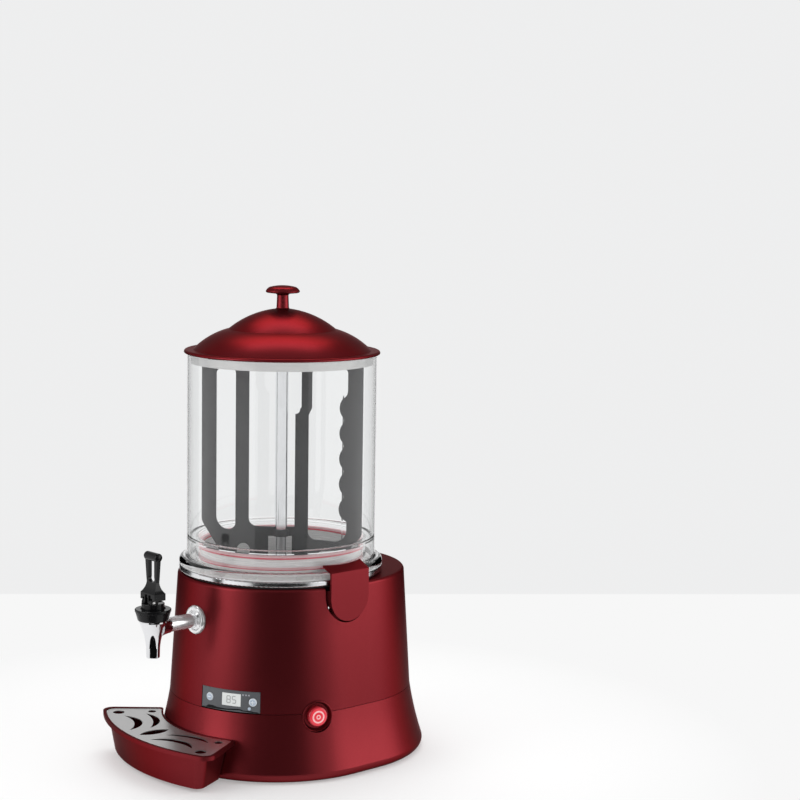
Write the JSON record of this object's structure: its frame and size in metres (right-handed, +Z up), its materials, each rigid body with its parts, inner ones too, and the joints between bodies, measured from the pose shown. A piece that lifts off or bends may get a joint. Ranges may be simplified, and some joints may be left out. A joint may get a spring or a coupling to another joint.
{
  "type": "hot chocolate dispenser",
  "caption": "Counter-top hot chocolate dispenser: clear bowl with turning paddle, domed lid, lever tap, drip tray, control panel.",
  "frame": {"origin": "centre of the overall footprint, at the underside of the rubber feet", "axes": "+Z up; -Y towards the tap and drip tray; +X to the right when the tap is seen from the front"},
  "size_m": [0.3014, 0.4031, 0.58],
  "materials": {
    "red_shell": "satin metallic red",
    "clear_bowl": "clear, polished",
    "steel": "brushed",
    "chrome": "polished",
    "black_plastic": "gloss",
    "paddle_grey": "matte",
    "seal_red": "satin",
    "black_rubber": "matte",
    "panel_grey": "satin",
    "display": "gloss",
    "key_pale": "satin",
    "lamp_red": "gloss",
    "power_lens": "gloss, lit",
    "motor_paint": "satin",
    "cast_alloy": "cast",
    "bronze": "satin",
    "board_green": "satin"
  },
  "bodies": {
    "body": {"upper_casing": "red_shell", "base_skirt": "red_shell", "bottom_plate": "steel", "rubber_feet": "black_rubber", "base_screws": "steel", "chrome_ring": "chrome", "deck_gasket": "black_rubber", "inner_pot": "steel", "water_jacket": "steel", "upper_seal": "seal_red", "lower_seal": "seal_red", "bowl": "clear_bowl", "centre_tube": "steel", "shaft_bushes": "bronze", "gearbox": "cast_alloy", "gear_motor": "motor_paint", "motor_bracket": "steel", "heating_element": "steel", "thermostat_probe": "bronze", "tap_shank": "chrome", "shank_washer": "black_rubber", "shank_nut": "bronze", "tap_escutcheon": "chrome", "tap_body": "chrome", "tap_collar": "black_plastic", "tap_bonnet": "black_plastic", "lever_pin": "steel", "latch_pins": "steel", "control_panel": "panel_grey", "indicator_lights": "lamp_red", "display_window": "display", "control_board": "board_green", "switch_bezel": "red_shell", "switch_body": "black_plastic", "power_inlet": "black_plastic", "inlet_pins": "bronze"},
    "lid": {"lid_dome": "red_shell", "lid_band": "steel", "lid_knob": "red_shell", "knob_screw": "steel"},
    "agitator": {"drive_shaft": "steel", "agitator_sleeve": "steel", "agitator_cap": "paddle_grey", "agitator_paddle": "paddle_grey"},
    "tap_lever": {"tap_lever": "black_plastic"},
    "tap_stem": {"tap_stem": "steel", "stem_link_pin": "steel", "tap_plug": "seal_red", "tap_spring": "steel"},
    "minus_button": {"minus_button": "key_pale"},
    "plus_button": {"plus_button": "key_pale"},
    "set_button": {"set_button": "key_pale"},
    "power_button": {"power_button": "power_lens"},
    "drip_tray": {"drip_tray": "red_shell"},
    "drip_grid": {"drip_grid": "steel"},
    "latch_right": {"latch_right": "red_shell"},
    "latch_left": {"latch_left": "red_shell"}
  },
  "joints": [
    {"name": "lid_lift", "type": "slide", "parent": "body", "child": "lid", "axis": [0, 0, 1], "range_m": [0, 0.12]},
    {"name": "agitator_spin", "type": "hinge", "parent": "body", "child": "agitator", "pos_m": [0, 0.0129, 0.3], "axis": [0, 0, 1], "continuous": true},
    {"name": "tap_lever_pull", "type": "hinge", "parent": "body", "child": "tap_lever", "pos_m": [0, -0.1851, 0.214], "axis": [1, 0, 0], "range_deg": [0, 40], "stiffness_Nm_per_rad": 0.15, "springref_deg": -11.46},
    {"name": "tap_stem_lift", "type": "slide", "parent": "body", "child": "tap_stem", "axis": [0, 0, 1], "range_m": [0, 0.0039], "deforming": ["tap_spring"]},
    {"name": "minus_press", "type": "slide", "parent": "body", "child": "minus_button", "axis": [-0.23, 0.9732, 0], "range_m": [0, 0.0008], "stiffness_N_per_m": 300, "springref_m": -0.002},
    {"name": "plus_press", "type": "slide", "parent": "body", "child": "plus_button", "axis": [-0.6157, 0.788, 0], "range_m": [0, 0.0008], "stiffness_N_per_m": 300, "springref_m": -0.002},
    {"name": "set_press", "type": "slide", "parent": "body", "child": "set_button", "axis": [-0.5906, 0.807, 0], "range_m": [0, 0.0008], "stiffness_N_per_m": 300, "springref_m": -0.002},
    {"name": "power_press", "type": "slide", "parent": "body", "child": "power_button", "axis": [-0.9478, 0.319, 0], "range_m": [0, 0.002], "stiffness_N_per_m": 600, "springref_m": -0.003},
    {"name": "tray_slide", "type": "slide", "parent": "body", "child": "drip_tray", "axis": [-0.1045, -0.9945, 0], "range_m": [0, 0.06]},
    {"name": "grid_lift", "type": "slide", "parent": "drip_tray", "child": "drip_grid", "axis": [0, 0, 1], "range_m": [0, 0.05]},
    {"name": "latch_right_turn", "type": "hinge", "parent": "body", "child": "latch_right", "pos_m": [0.1238, 0.0144, 0.205], "axis": [0, 1, 0], "range_deg": [0, 40]},
    {"name": "latch_left_turn", "type": "hinge", "parent": "body", "child": "latch_left", "pos_m": [-0.1238, 0.0144, 0.205], "axis": [0, -1, 0], "range_deg": [0, 40]}
  ],
  "couplings": [
    {"joint": "tap_lever_pull", "follows": "tap_stem_lift", "rad_per_m": 178.57}
  ]
}
